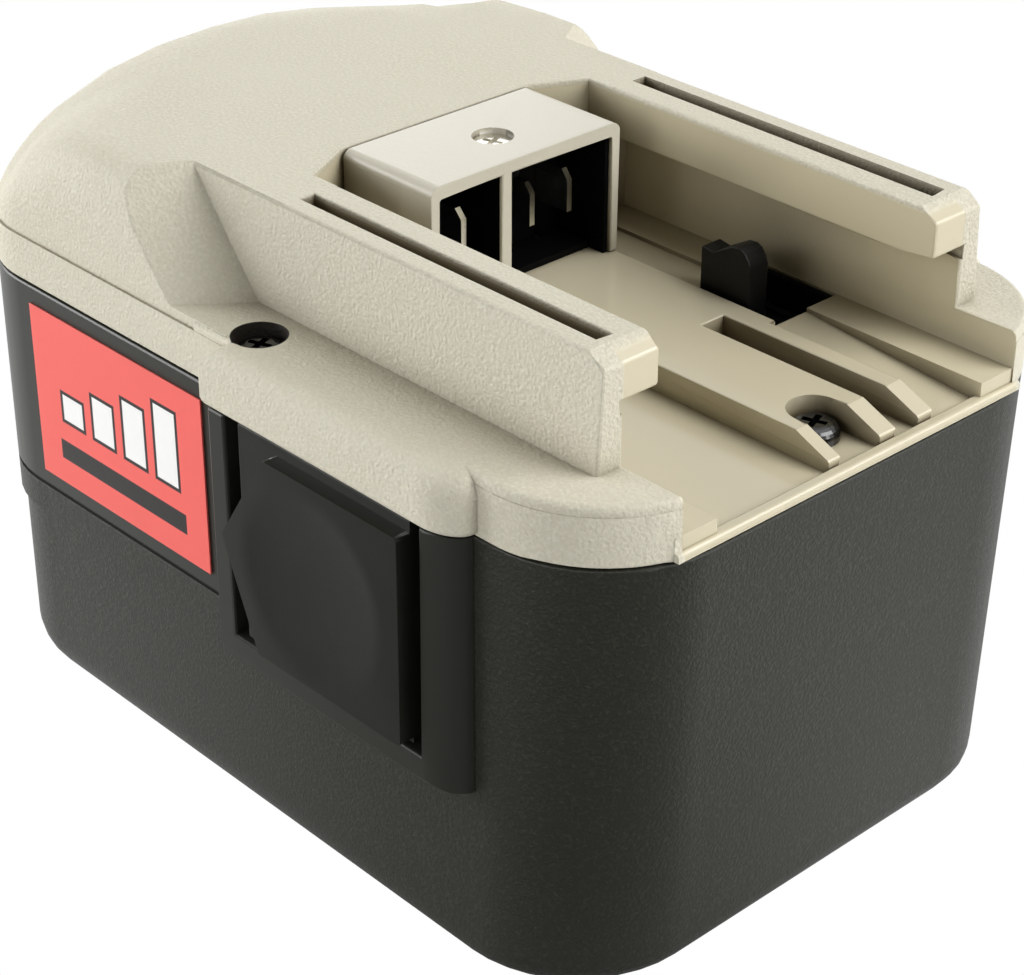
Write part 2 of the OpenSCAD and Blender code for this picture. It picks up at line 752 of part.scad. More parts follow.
// Ribs under the cover that press the card onto the cells
module hold_down_ribs() {
    block([-half_l + 22, -14, z_card_top], [-half_l + 24, 14, z_top - wall + 0.5]);
    both_sides() block([hood_x0 - 5, 15, z_card_top], [hood_x0 - 3, 22, z_top - wall + 0.5]);
    block([rail_x1 - 6, -14, z_card_top], [rail_x1 - 4, -4, z_under + 0.5]);
    block([rail_x1 - 6, 7, z_card_top], [rail_x1 - 4, 14, z_under + 0.5]);
}

// Terminals

module terminal_hood() {
    y0 = hood_off - hood_w / 2;
    y1 = hood_off + hood_w / 2;
    color("#d9d4c6") difference() {
        union() {
            difference() {
                along_x(hood_x0 + hood_gap, hood_x1) polygon(rounded([
                    [[y0, z_plateau], 0], [[y1, z_plateau], 0], [[y1, z_top], hood_r], [[y0, z_top], hood_r]]));
                along_x(hood_x0 + hood_gap + hood_t, hood_x1 + 1) polygon(rounded([
                    [[y0 + hood_t, z_plateau - 1], 0], [[y1 - hood_t, z_plateau - 1], 0],
                    [[y1 - hood_t, z_top - hood_t - 0.4], 0.4], [[y0 + hood_t, z_top - hood_t - 0.4], 0.4]]));
            }
            block([hood_x1 - divider_l, divider_y - divider_t / 2, z_plateau],
                  [hood_x1, divider_y + divider_t / 2, z_top - hood_t]);
        }
        translate([hood_screw_x, hood_screw_y, z_top - hood_t]) cylinder(d = hood_screw_d + 2 * head_fit, h = 5);
        translate([hood_screw_x, hood_screw_y, z_top - 5]) cylinder(d = screw_d + 2 * thread_fit, h = 5);
    }
}

module terminal_carrier() {
    y0 = hood_off - hood_w / 2 + hood_t + carrier_fit;
    y1 = hood_off + hood_w / 2 - hood_t - carrier_fit;
    z1 = z_top - hood_t - 0.4 - carrier_fit;
    lining = 0.6;
    floor_strip = 0.9;
    color("#161616") difference() {
        union() {
            block([carrier_x0, y0, z_plateau], [carrier_face, y1, z1]);
            block([carrier_face - 1, y0, z_plateau], [carrier_x1, y1 - floor_strip, z_plateau + carrier_floor]);
            for (y = [y0, y1 - lining])
                block([carrier_face - 1, y, z_plateau], [hood_x1 - 0.5, y + lining, z1]);
            block([carrier_face - 1, y0, z1 - lining], [carrier_x1, y1, z1]);
            block([carrier_face - 1, divider_y - divider_t / 2, z_plateau],
                  [hood_x1 - divider_l - carrier_fit, divider_y + divider_t / 2, z1]);
            translate([hood_screw_x, hood_screw_y, z1 - 2.9]) cylinder(d = boss_d, h = 2.9);
        }
        for (y = blade_ys)
            block([tail_x - blade_fit, y - blade_t / 2 - blade_fit, z_plateau - 1],
                  [carrier_face + 1, y + blade_t / 2 + blade_fit, z_plateau + carrier_floor + blade_h - 1]);
        translate([hood_screw_x, hood_screw_y, z1 - 4]) cylinder(d = screw_d + 2 * thread_fit, h = 6);
    }
}

// One contact: a blade with its top bent aside, and a tail down through the floor
module terminal(y) {
    z0 = z_plateau + carrier_floor + 4.9;
    z1 = z_plateau + carrier_floor + blade_h - 1.8;
    bend = 1;
    color("#e8e8e4") {
        block([tail_x, y - blade_t / 2, z0], [blade_front, y + blade_t / 2, z1]);
        block([tail_x, y - blade_t / 2, tail_z], [tail_x + tail_l, y + blade_t / 2, z1]);
        along_x(carrier_face + 0.4, blade_front) polygon([
            [y - blade_t / 2, z1 - 0.1], [y + blade_t / 2, z1 - 0.1],
            [y + blade_t / 2 - bend, z1 + 1.8], [y - blade_t / 2 - bend, z1 + 1.8]]);
    }
}

module hood_screw() {
    z0 = z_top - hood_t;
    color("#c9c9c6") {
        difference() {
            translate([hood_screw_x, hood_screw_y, z0]) cylinder(d = hood_screw_d, h = hood_screw_h);
            cross_recess(hood_screw_x, hood_screw_y, z0 + hood_screw_h - 0.4, 2.6, 0.7);
        }
        translate([hood_screw_x, hood_screw_y, z0 - 3.6]) cylinder(d = screw_d, h = 3.7);
    }
}

module cross_recess(x, y, z, l, w) {
    for (a = [0, 90])
        translate([x, y, z]) rotate(a + 20) translate([-l / 2, -w / 2, 0]) cube([l, w, 5]);
}

module cover_screws() {
    seats = [[ledge_screw_x, ledge_screw_y, ledge_seat], [ledge_screw_x, -ledge_screw_y, ledge_seat],
             [notch_x, notch_y, z_floor]];
    color("#1c1c1c") for (s = seats) translate(s) {
        difference() {
            rotate_extrude() polygon(rounded([
                [[0, 0], 0], [[screw_head_d / 2, 0], 0], [[screw_head_d / 2, screw_head_h], 1.3],
                [[0, screw_head_h], 0]]));
            cross_recess(0, 0, screw_head_h - 1, 3, 0.8);
        }
        translate([0, 0, -screw_l]) cylinder(d = screw_d, h = screw_l + 0.1);
    }
}

// Cells

function cell_row(k) = floor((k - 1) / cell_cols);
function cell_col(k) = let (c = (k - 1) % cell_cols) cell_row(k) % 2 == 0 ? c : cell_cols - 1 - c;
function cell_y(row) = (row - (cell_rows - 1) / 2) * pitch;
function cell_xy(k) = [(cell_col(k) - (cell_cols - 1) / 2) * pitch, cell_y(cell_row(k))];

// One cell in its sleeve; odd cells stand with the button up
module cell(k) {
    r = cell_d / 2;
    top = cell_h - cell_button_h;
    color("#2f6f5a") translate([cell_xy(k).x, cell_xy(k).y, z_cell + cell_h / 2])
        rotate([k % 2 == 1 ? 0 : 180, 0, 0]) translate([0, 0, -cell_h / 2])
            rotate_extrude() polygon([
                [0, 0], [r - 1, 0], [r, 1], [r, top - 4], [r - 0.6, top - 3.4], [r - 0.6, top - 2.6],
                [r, top - 2], [r, top - 0.6], [r - 0.6, top], [cell_button_d / 2, top],
                [cell_button_d / 2, cell_h], [0, cell_h]]);
}

module strap(a, b, z) {
    color("#c8c8c0") translate([a.x, a.y, z]) rotate(atan2(b.y - a.y, b.x - a.x))
        linear_extrude(strap_t) {
            translate([0, -strap_w / 2]) square([norm(b - a), strap_w]);
            circle(d = strap_w);
            translate([norm(b - a), 0]) circle(d = strap_w);
        }
}

module cell_straps_bottom() {
    for (k = [1 : 2 : cell_count - 1]) strap(cell_xy(k), cell_xy(k + 1), z_strap);
}

// The straps between pairs, and the two end tabs that the leads are soldered to
module cell_straps_top() {
    for (k = [2 : 2 : cell_count - 2]) strap(cell_xy(k), cell_xy(k + 1), z_cell_top);
    for (k = [1, cell_count]) strap(cell_xy(k), cell_xy(k) + [0, 2], z_cell_top);
}

module bottom_pad() {
    block_x = cell_cols * pitch / 2 - 1;
    block_y = cell_rows * pitch / 2 - 1;
    color("#8a8a86") block([-block_x, -block_y, floor_t], [block_x, block_y, z_strap]);
}

module top_insulator() {
    block_x = cell_cols * pitch / 2 - 1;
    block_y = cell_rows * pitch / 2 - 1;
    color("#c9b78e") difference() {
        block([-block_x, -block_y, z_card], [block_x, block_y, z_card_top]);
        for (k = [1, cell_count])
            translate([cell_xy(k).x, cell_xy(k).y, z_card - 1]) cylinder(d = lead_d + 2, h = card_t + 2);
        translate([sensor_xy.x, sensor_xy.y, z_card - 1]) cylinder(d = sensor_d + 1, h = card_t + 2);
    }
}

module side_pad(side) {
    color("#8a8a86") on_side(side) block(
        [-cell_cols * pitch / 2 + 3, cell_rows * pitch / 2 - cell_gap / 2 + sleeve_fit, z_cell + 6],
        [housing_x0 - 6, half_w - wall - 0.1, z_cell_top - 6]);
}

// Leads and sensor

lead_d = 2.4;
sensor_wire_d = 1.2;
sensor_d = 5;
sensor_h = 12;
sensor_xy = [cell_xy(1).x + pitch / 2, cell_xy(1).y + pitch / 2];
lead_z = z_under - 4.2;

function tail_end(i) = [tail_x - lead_d / 2 - 0.05, blade_ys[i], tail_z + 1.4];

module positive_lead() {
    a = cell_xy(1);
    b = tail_end(0);
    color("#b3372f") tube([
        [a.x, a.y, z_card + 0.05], [a.x, a.y, z_card_top + 2], [a.x + 2, a.y + 1, lead_z],
        [a.x + 8, a.y + 5, lead_z + 1], [b.x - 9, b.y - 3, b.z], [b.x - 4, b.y, b.z], [b.x + 1.1, b.y, b.z]],
        lead_d / 2);
}

module negative_lead() {
    a = cell_xy(cell_count);
    b = tail_end(2);
    run_y = blade_ys[2] + 1;
    color("#2b2b2b") tube([
        [a.x, a.y, z_card + 0.05], [a.x, a.y, z_card_top + 2], [a.x, a.y - 3, lead_z - 1],
        [a.x - 1, run_y + 2, lead_z - 1], [a.x - 3, run_y, lead_z - 1], [a.x - 8, run_y, lead_z - 1],
        [tail_x + tail_l + 8, b.y, b.z], [tail_x + tail_l + 0.15, b.y, b.z]], lead_d / 2);
}

// Two thin wires: one to its own contact, one to the negative contact's tail
module sensor_lead() {
    s = sensor_xy;
    z0 = z_cell_top + 1;
    for (w = [[-1.2, 1, 0], [1.2, 2, 2.8]]) {
        b = tail_end(w[1]) + [0.6, 0, w[2]];
        color("#d8c24a") tube([
            [s.x, s.y + w[0], z0 + 0.05], [s.x, s.y + w[0], z0 + 3], [s.x + 2, s.y + w[0] + 1, z0 + 5 + w[0]],
            [b.x - 7, b.y - 1, b.z], [b.x - 3, b.y, b.z], [b.x + 0.55, b.y, b.z]], sensor_wire_d / 2);
    }
}

module temperature_sensor() {
    color("#3a3a3a") translate([sensor_xy.x, sensor_xy.y, z_cell_top + 1 - sensor_h])
        cylinder(d = sensor_d, h = sensor_h);
}

// Buttons and latches, drawn for the right side

module release_button(side) {
    color("#262725") on_side(side) {
        difference() {
            union() {
                block([plate_x0, plate_in, plate_z0], [plate_x1, plate_y, plate_z1]);
                along_y(plate_y - 0.1, face_y) polygon(rounded([
                    [[pocket_x0 + 0.5, face_tip_z], 1], [[plate_x0 + 7, face_top], 0.6],
                    [[plate_x1, face_top], 0.6], [[plate_x1, face_low], 0.6], [[plate_x0 + 4.5, face_low], 0.6]]));
            }
            translate([dish_x, face_y, dish_z]) rotate([-90, 0, 0]) rotate_extrude() polygon(concat(
                [for (k = [0 : 6]) [dish_r * k / 6, -dish_d * (1 - pow(k / 6, 2))]],
                [[dish_r, 1], [0, 1]]));
        }
        along_x(arm_x0, arm_x1) polygon([
            [wedge_y + wedge_fit + wedge_top - arm_z1, arm_z1],
            [wedge_y + wedge_fit + wedge_top - arm_z0, arm_z0],
            [plate_in + 0.1, arm_z0], [plate_in + 0.1, arm_z1]]);
        block([prong_x0, prong_y, arm_z0], [prong_x1, plate_in + 0.1, arm_z1]);
    }
}

module latch_bolt(side) {
    foot_x1 = bolt_x0 + bolt_l;
    x1 = hook_x0 + hook_l;
    color("#141414") on_side(side) difference() {
        union() {
            block([bolt_x0, bolt_y0, bolt_low], [foot_x1, bolt_y1, wedge_top]);
            along_y(bolt_y0, bolt_y0 + hook_w) polygon([
                [hook_x0, wedge_top - 1], [x1, wedge_top - 1], [x1, hook_top - 2.2], [x1 - 0.3, hook_top - 1.3],
                [x1 - 1, hook_top - 0.4], [x1 - 1.8, hook_top], [x1 - 3, hook_top - 0.1],
                [x1 - 6.1, hook_top - 1.9], [hook_x0, hook_top - 1.6]]);
            along_x(arm_x0 - 0.5, arm_x1 + 0.5) polygon([
                [bolt_y1 - 0.1, bolt_low], [bolt_y1 - 0.1, wedge_top], [wedge_y, wedge_top],
                [wedge_y + wedge_top - bolt_low, bolt_low]]);
        }
        translate([bolt_spring_x, bolt_spring_y, bolt_low - 1])
            cylinder(d = bolt_bore_d, h = bolt_bore_top - bolt_low + 1);
    }
}

// Guide under the channel floor: a pocket for the bolt, a seat for the button
// spring, and a shelf with an upright wall that lines the opening over it
module latch_guide(side) {
    x0 = bolt_x0 - slide_gap;
    x1 = bolt_x0 + bolt_l + slide_gap;
    y0 = bolt_y0 - slide_gap;
    wall_y = open_y1 - 0.1;
    shelf_x1 = open_x1 - 0.1;
    color("#1b1b1b") on_side(side) {
        difference() {
            block([x0 - guide_t, y0 - guide_t, guide_z0], [x1 + guide_t, guide_y1, z_under]);
            block([x0, y0, guide_seat], [x1, guide_y1 + 1, z_under + 1]);
        }
        block([x1 + guide_t - 0.1, y0 - guide_t, z_under - 1.2], [shelf_x1, wall_y, z_under]);
        block([x1 + 0.1, wall_y - 0.8, z_under - 1], [shelf_x1, wall_y, z_strip - 0.3]);
        block([open_x0 + 0.1, wall_y - 0.8, z_under], [shelf_x1, wall_y, z_strip - 0.3]);
        translate([bolt_spring_x, bolt_spring_y, guide_seat - 0.1]) cylinder(r = bolt_spring_r - bolt_wire, h = 2.1);
        block([prong_x0, seat_y - 1.6, guide_z0], [x0 - guide_t + 0.1, seat_y, z_under]);
    }
}

module button_spring(side) {
    color("#b8b8b4") on_side(side)
        translate([button_spring_x, seat_y + spring_fit, button_spring_z]) rotate([-90, 0, 0])
            coil(button_spring_r - button_wire / 2, prong_y - seat_y - 2 * spring_fit, 6, button_wire);
}

module bolt_spring(side) {
    color("#b8b8b4") on_side(side)
        translate([bolt_spring_x, bolt_spring_y, guide_seat + spring_fit])
            coil(bolt_spring_r, bolt_bore_top - guide_seat - 2 * spring_fit, 6, bolt_wire);
}

module label(side) {
    color("#f0736c") on_side(side)
        block([label_x1 - label_l, half_w, label_z1 - label_h], [label_x1, half_w + label_t, label_z1]);
}

lower_case();
top_cover();
terminal_hood();
hood_screw();
cover_screws();
terminal_carrier();
terminal(blade_ys[0]);  // terminal_positive
terminal(blade_ys[1]);  // terminal_sensor
terminal(blade_ys[2]);  // terminal_negative
cell_straps_top();
cell_straps_bottom();
bottom_pad();
top_insulator();
temperature_sensor();
positive_lead();
negative_lead();
sensor_lead();
for (s = LEFT_RIGHT) {
    release_button(s);
    button_spring(s);
    latch_bolt(s);
    bolt_spring(s);
    latch_guide(s);
    side_pad(s);
    label(s);
}
for (k = [1 : cell_count])
    cell(k);
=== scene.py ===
import math
import bmesh
import bpy
from mathutils import Matrix, Vector
from mathutils.bvhtree import BVHTree


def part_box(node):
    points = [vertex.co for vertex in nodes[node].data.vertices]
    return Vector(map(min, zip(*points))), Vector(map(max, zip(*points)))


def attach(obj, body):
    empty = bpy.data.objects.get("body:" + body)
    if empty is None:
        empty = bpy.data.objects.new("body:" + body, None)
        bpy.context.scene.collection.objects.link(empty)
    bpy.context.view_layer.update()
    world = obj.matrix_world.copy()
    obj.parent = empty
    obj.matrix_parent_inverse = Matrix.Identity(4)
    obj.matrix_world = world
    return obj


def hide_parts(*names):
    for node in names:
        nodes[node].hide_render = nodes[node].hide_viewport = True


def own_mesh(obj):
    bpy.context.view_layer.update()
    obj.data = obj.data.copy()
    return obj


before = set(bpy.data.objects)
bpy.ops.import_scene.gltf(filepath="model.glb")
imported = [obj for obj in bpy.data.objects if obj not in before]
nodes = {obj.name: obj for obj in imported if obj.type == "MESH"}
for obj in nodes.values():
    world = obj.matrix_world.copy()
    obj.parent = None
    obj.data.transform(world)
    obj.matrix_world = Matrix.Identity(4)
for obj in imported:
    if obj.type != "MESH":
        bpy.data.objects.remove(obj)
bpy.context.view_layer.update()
mm = 0.001
print("frame: %d nodes" % len(nodes))

# the photograph's viewpoint, fitted to the rails and the case's edges
viewpoint = {"place": (0.2150, -0.1978, 0.2010), "azimuth": 46.87, "elevation": 30.13,
             "roll": 0.2, "lens": 91.98, "sensor": 36, "nearest": 0.01}


def makeCamera():
    a = math.radians(viewpoint["azimuth"])
    e = math.radians(viewpoint["elevation"])
    roll = math.radians(viewpoint["roll"])
    back = Vector((math.sin(a) * math.cos(e), -math.cos(a) * math.cos(e), math.sin(e)))
    level = Vector((math.cos(a), math.sin(a), 0))
    upright = back.cross(level)
    right = math.cos(roll) * level + math.sin(roll) * upright
    up = math.cos(roll) * upright - math.sin(roll) * level
    lens = bpy.data.cameras.new("photoCamera")
    lens.lens = viewpoint["lens"]
    lens.sensor_width = viewpoint["sensor"]
    lens.sensor_fit = "HORIZONTAL"
    lens.clip_start = viewpoint["nearest"]
    camera = bpy.data.objects.new("photoCamera", lens)
    bpy.context.scene.collection.objects.link(camera)
    turn = Matrix((right, up, back)).transposed().to_4x4()
    camera.matrix_world = Matrix.Translation(viewpoint["place"]) @ turn
    bpy.context.scene.camera = camera


makeCamera()
bpy.context.scene.view_settings.view_transform = "Standard"
print("camera placed")


# small helpers for shader trees

def newMaterial(name):
    material = bpy.data.materials.new(name)
    material.use_nodes = True
    tree = material.node_tree
    tree.nodes.clear()
    return material, tree


def addNode(tree, kind, inputs=None, **settings):
    node = tree.nodes.new(kind)
    for key, value in settings.items():
        setattr(node, key, value)
    for key, value in (inputs or {}).items():
        if isinstance(value, bpy.types.NodeSocket):
            tree.links.new(value, node.inputs[key])
        else:
            node.inputs[key].default_value = value
    return node


def mathNode(tree, operation, first, second=0.5, third=0.5):
    return addNode(tree, "ShaderNodeMath", {0: first, 1: second, 2: third}, operation=operation).outputs[0]


def mixColour(tree, share, low, high):
    node = addNode(tree, "ShaderNodeMix", {0: share, 6: low, 7: high}, data_type="RGBA")
    return node.outputs[2]


def mixValue(tree, share, low, high):
    return addNode(tree, "ShaderNodeMix", {0: share, 2: low, 3: high}).outputs[0]


def linear(red, green, blue):
    def channel(value):
        value = value / 255
        return value / 12.92 if value <= 0.04045 else ((value + 0.055) / 1.055) ** 2.4
    return (channel(red), channel(green), channel(blue), 1)


def objectPlace(tree):
    return addNode(tree, "ShaderNodeTexCoord").outputs["Object"]


def grainNoise(tree, place, scale, detail=2.0, roughness=0.5):
    node = addNode(tree, "ShaderNodeTexNoise",
                   {"Vector": place, "Scale": scale, "Detail": detail, "Roughness": roughness})
    return node.outputs["Fac"]


# share that goes from 0 at low to 1 at high
def ramp(tree, value, low, high):
    node = addNode(tree, "ShaderNodeMapRange",
                   {"Value": value, "From Min": low, "From Max": high, "To Min": 0.0, "To Max": 1.0},
                   interpolation_type="SMOOTHSTEP")
    node.clamp = True
    return node.outputs["Result"]


def closeMaterial(tree, shader):
    out = addNode(tree, "ShaderNodeOutputMaterial")
    tree.links.new(shader.outputs[0], out.inputs["Surface"])


def bumpNormal(tree, height, strength, distance):
    node = addNode(tree, "ShaderNodeBump", {"Height": height, "Strength": strength, "Distance": distance})
    return node.outputs["Normal"]


# finishes

# painted shade for slots and creases: its dark tone, reach, samples and openness range
creaseShadeFinish = {"tone": linear(96, 84, 62), "reach": 0.01, "samples": 8, "closed": 0.12, "open": 0.82}


# painted shade: a darker colour in slots and creases, where less light gets in
def paintCreaseShade(tree, colour):
    f = creaseShadeFinish
    openness = addNode(tree, "ShaderNodeAmbientOcclusion", {"Distance": f["reach"]}, samples=f["samples"])
    share = ramp(tree, openness.outputs["AO"], f["closed"], f["open"])
    return mixColour(tree, share, f["tone"], colour)


coverFinish = {
    "beige": linear(217, 213, 196), "beigeDeep": linear(202, 196, 176),
    "beigeSmooth": linear(207, 198, 171),
    "grainSize": 0.00042, "grainDepth": 0.00028, "grainBump": 0.55, "cellShare": 0.8, "pitShare": 0.5,
    "speckle": (0.42, 0.66), "cloudScale": 60.0, "cloudTone": 0.55,
    "roughFine": 0.7, "roughCoarse": 0.52, "smoothRoughness": 0.16, "grainGloss": 0.3, "smoothGloss": 0.5,
    "wallHalf": 0.0277, "wallBlend": 0.0002, "hoodBack": -0.0099, "railTop": 0.0792, "endBlend": 0.0003,
    # painted shade in the ledge screws' wells: centre, radius, blend and dark tone
    "screwAt": (0.0006, 0.0365, 0), "screwWell": 0.0034, "wellBlend": 0.00005,
    "wellShadeTone": linear(34, 30, 24)}


# beige cover: grained outside, smooth in the channel
def coverMaterial():
    f = coverFinish
    material, tree = newMaterial("beigeMoulding")
    place = objectPlace(tree)
    x, y, z = addNode(tree, "ShaderNodeSeparateXYZ", {0: place}).outputs
    # smooth between the rail walls, in front of the hood's back wall and under the rails' tops
    sideways = mathNode(tree, "ABSOLUTE", y)
    between = ramp(tree, sideways, f["wallHalf"] + f["wallBlend"], f["wallHalf"] - f["wallBlend"])
    ahead = ramp(tree, x, f["hoodBack"] - f["endBlend"], f["hoodBack"] + f["endBlend"])
    under = ramp(tree, z, f["railTop"] + f["endBlend"], f["railTop"] - f["endBlend"])
    inside = mathNode(tree, "MULTIPLY", mathNode(tree, "MULTIPLY", between, ahead), under)
    outside = mathNode(tree, "SUBTRACT", 1.0, inside)
    fine = grainNoise(tree, place, 1 / f["grainSize"], 3.0, 0.6)
    cells = addNode(tree, "ShaderNodeTexVoronoi",
                    {"Vector": place, "Scale": f["cellShare"] / f["grainSize"]}).outputs["Distance"]
    cloud = grainNoise(tree, place, f["cloudScale"])
    speckle = ramp(tree, fine, *f["speckle"])
    grained = mixColour(tree, mixValue(tree, cloud, speckle, f["cloudTone"]), f["beigeDeep"], f["beige"])
    # painted shade in the creases, laid over the grained and smooth colours
    colour = paintCreaseShade(tree, mixColour(tree, inside, grained, f["beigeSmooth"]))
    # painted shade in the wells round the ledge screws
    folded = addNode(tree, "ShaderNodeCombineXYZ", {"X": x, "Y": sideways}).outputs[0]
    apart = addNode(tree, "ShaderNodeVectorMath", {0: folded, 1: f["screwAt"]}, operation="DISTANCE")
    away = apart.outputs["Value"]
    wellShade = ramp(tree, away, f["screwWell"] + f["wellBlend"], f["screwWell"] - f["wellBlend"])
    colour = mixColour(tree, wellShade, colour, f["wellShadeTone"])
    pits = mathNode(tree, "SUBTRACT", fine, mathNode(tree, "MULTIPLY", cells, f["pitShare"]))
    normal = bumpNormal(tree, mathNode(tree, "MULTIPLY", pits, outside), f["grainBump"], f["grainDepth"])
    grainRough = mixValue(tree, fine, f["roughFine"], f["roughCoarse"])
    roughness = mixValue(tree, inside, grainRough, f["smoothRoughness"])
    gloss = mixValue(tree, inside, f["grainGloss"], f["smoothGloss"])
    shader = addNode(tree, "ShaderNodeBsdfPrincipled", {
        "Base Color": colour, "Roughness": roughness, "Normal": normal, "Specular IOR Level": gloss})
    closeMaterial(tree, shader)
    return material


plasticFinish = {"cloudScale": 90.0, "fineShare": 0.35, "grainDepth": 0.0002, "roughSpread": 0.05}


# one moulded colour with faint mottling and a fine surface
def smoothPlastic(name, dark, light, roughness, grain=0.1, grainSize=0.0005, gloss=0.5, paintsCreaseShade=False):
    f = plasticFinish
    material, tree = newMaterial(name)
    place = objectPlace(tree)
    cloud = grainNoise(tree, place, f["cloudScale"], 3.0)
    fine = grainNoise(tree, place, 1 / grainSize)
    colour = mixColour(tree, mixValue(tree, f["fineShare"], cloud, fine), dark, light)
    # painted shade in the creases, when asked for
    if paintsCreaseShade:
        colour = paintCreaseShade(tree, colour)
    normal = bumpNormal(tree, fine, grain, f["grainDepth"])
    rough = mixValue(tree, cloud, roughness - f["roughSpread"], roughness + f["roughSpread"])
    shader = addNode(tree, "ShaderNodeBsdfPrincipled", {
        "Base Color": colour, "Roughness": rough, "Normal": normal, "Specular IOR Level": gloss})
    closeMaterial(tree, shader)
    return material


caseFinish = {
    "dark": linear(35, 36, 28), "light": linear(52, 53, 43), "smooth": linear(42, 43, 37),
    "grainSize": 0.00045, "grainDepth": 0.00024, "grainBump": 0.5, "speck": (0.5, 0.72),
    "roughFine": 0.6, "roughCoarse": 0.4, "smoothRoughness": 0.4,
    "bandLow": 0.0294, "bandEnd": -0.0015, "bandBlend": 0.0003, "housingOut": (0.0401, 0.0403)}


# dark case: grained walls, smoother label band and latch housings
def caseMaterial():
    f = caseFinish
    material, tree = newMaterial("darkMoulding")
    place = objectPlace(tree)
    x, y, z = addNode(tree, "ShaderNodeSeparateXYZ", {0: place}).outputs
    band = mathNode(tree, "MULTIPLY", ramp(tree, z, f["bandLow"] - f["bandBlend"], f["bandLow"]),
                    ramp(tree, x, f["bandEnd"] + f["bandBlend"], f["bandEnd"]))
    housing = ramp(tree, mathNode(tree, "ABSOLUTE", y), *f["housingOut"])
    smooth = mathNode(tree, "MAXIMUM", band, housing)
    grained = mathNode(tree, "SUBTRACT", 1.0, smooth)
    fine = grainNoise(tree, place, 1 / f["grainSize"], 3.0, 0.6)
    speck = ramp(tree, fine, *f["speck"])
    colour = mixColour(tree, smooth, mixColour(tree, speck, f["dark"], f["light"]), f["smooth"])
    normal = bumpNormal(tree, mathNode(tree, "MULTIPLY", fine, grained), f["grainBump"], f["grainDepth"])
    grainRough = mixValue(tree, fine, f["roughFine"], f["roughCoarse"])
    roughness = mixValue(tree, smooth, grainRough, f["smoothRoughness"])
    shader = addNode(tree, "ShaderNodeBsdfPrincipled",
                     {"Base Color": colour, "Roughness": roughness, "Normal": normal})
    closeMaterial(tree, shader)
    return material


labelFinish = {
    "coral": linear(250, 106, 98), "white": linear(250, 250, 248), "dark": linear(38, 36, 34),
    "bars": 4, "barStart": -0.0375, "barPitch": 0.0066, "barHalf": 0.0021, "barFoot": 0.0418,
    "barLow": 0.0036, "barStep": 0.0022, "outline": 0.0005, "blur": 0.00006,
    "lineMiddle": (-0.0243, 0.0372), "lineHalf": (0.0132, 0.0014),
    "cloudScale": 120.0, "cloudShade": 0.95, "filmScale": 3000.0, "filmBump": 0.05, "filmDepth": 0.0001,
    "roughness": (0.4, 0.5)}


# how far a place lies beyond a stretch, less than nothing inside it
def beyond(tree, value, middle, half):
    off = mathNode(tree, "ABSOLUTE", mathNode(tree, "SUBTRACT", value, middle))
    return mathNode(tree, "SUBTRACT", off, half)


# coral film with a plain motif: rising bars over one dark line
def labelMaterial():
    f = labelFinish
    material, tree = newMaterial("coralLabel")
    place = objectPlace(tree)
    spot = addNode(tree, "ShaderNodeSeparateXYZ", {0: place}).outputs
    x = spot["X"]
    z = spot["Z"]
    along = mathNode(tree, "DIVIDE", mathNode(tree, "SUBTRACT", x, f["barStart"]), f["barPitch"])
    number = mathNode(tree, "FLOOR", along)
    centred = mathNode(tree, "ABSOLUTE", mathNode(tree, "SUBTRACT", mathNode(tree, "FRACT", along), 0.5))
    across = mathNode(tree, "MULTIPLY_ADD", centred, f["barPitch"], -f["barHalf"])
    top = mathNode(tree, "MULTIPLY_ADD", number, f["barStep"], f["barFoot"] + f["barLow"])
    upright = mathNode(tree, "MAXIMUM", mathNode(tree, "SUBTRACT", f["barFoot"], z),
                       mathNode(tree, "SUBTRACT", z, top))
    halfCount = f["bars"] / 2
    ends = mathNode(tree, "MULTIPLY", beyond(tree, along, halfCount, halfCount), f["barPitch"])
    away = mathNode(tree, "MAXIMUM", mathNode(tree, "MAXIMUM", across, upright), ends)
    lineX = beyond(tree, x, f["lineMiddle"][0], f["lineHalf"][0])
    lineZ = beyond(tree, z, f["lineMiddle"][1], f["lineHalf"][1])
    line = ramp(tree, mathNode(tree, "MAXIMUM", lineX, lineZ), f["blur"], -f["blur"])
    rim = ramp(tree, away, f["outline"] + f["blur"], f["outline"] - f["blur"])
    shaded = tuple(channel * f["cloudShade"] for channel in f["coral"])
    film = mixColour(tree, grainNoise(tree, place, f["cloudScale"], 3.0), f["coral"], shaded)
    printed = mixColour(tree, mathNode(tree, "MAXIMUM", line, rim), film, f["dark"])
    colour = mixColour(tree, ramp(tree, away, f["blur"], -f["blur"]), printed, f["white"])
    fine = grainNoise(tree, place, f["filmScale"])
    shader = addNode(tree, "ShaderNodeBsdfPrincipled", {
        "Base Color": colour, "Roughness": mixValue(tree, fine, *f["roughness"]),
        "Normal": bumpNormal(tree, fine, f["filmBump"], f["filmDepth"])})
    closeMaterial(tree, shader)
    return material


metalFinish = {"streakScale": 2500.0, "streakShade": 0.82, "streakBump": 0.15, "streakDepth": 0.00005,
               "smoother": 0.06, "rougher": 0.08}


# bright metal with a fine grain, finer along an axis that is stretched
def drawnMetal(name, tone, roughness, stretch=(1, 1, 1)):
    f = metalFinish
    material, tree = newMaterial(name)
    place = objectPlace(tree)
    lines = addNode(tree, "ShaderNodeMapping", {"Vector": place, "Scale": stretch}).outputs[0]
    streak = grainNoise(tree, lines, f["streakScale"])
    shaded = tuple(channel * f["streakShade"] for channel in tone[:3]) + (1,)
    colour = mixColour(tree, streak, shaded, tone)
    normal = bumpNormal(tree, streak, f["streakBump"], f["streakDepth"])
    rough = mixValue(tree, streak, roughness - f["smoother"], roughness + f["rougher"])
    shader = addNode(tree, "ShaderNodeBsdfPrincipled",
                     {"Base Color": colour, "Metallic": 1.0, "Roughness": rough, "Normal": normal})
    closeMaterial(tree, shader)
    return material


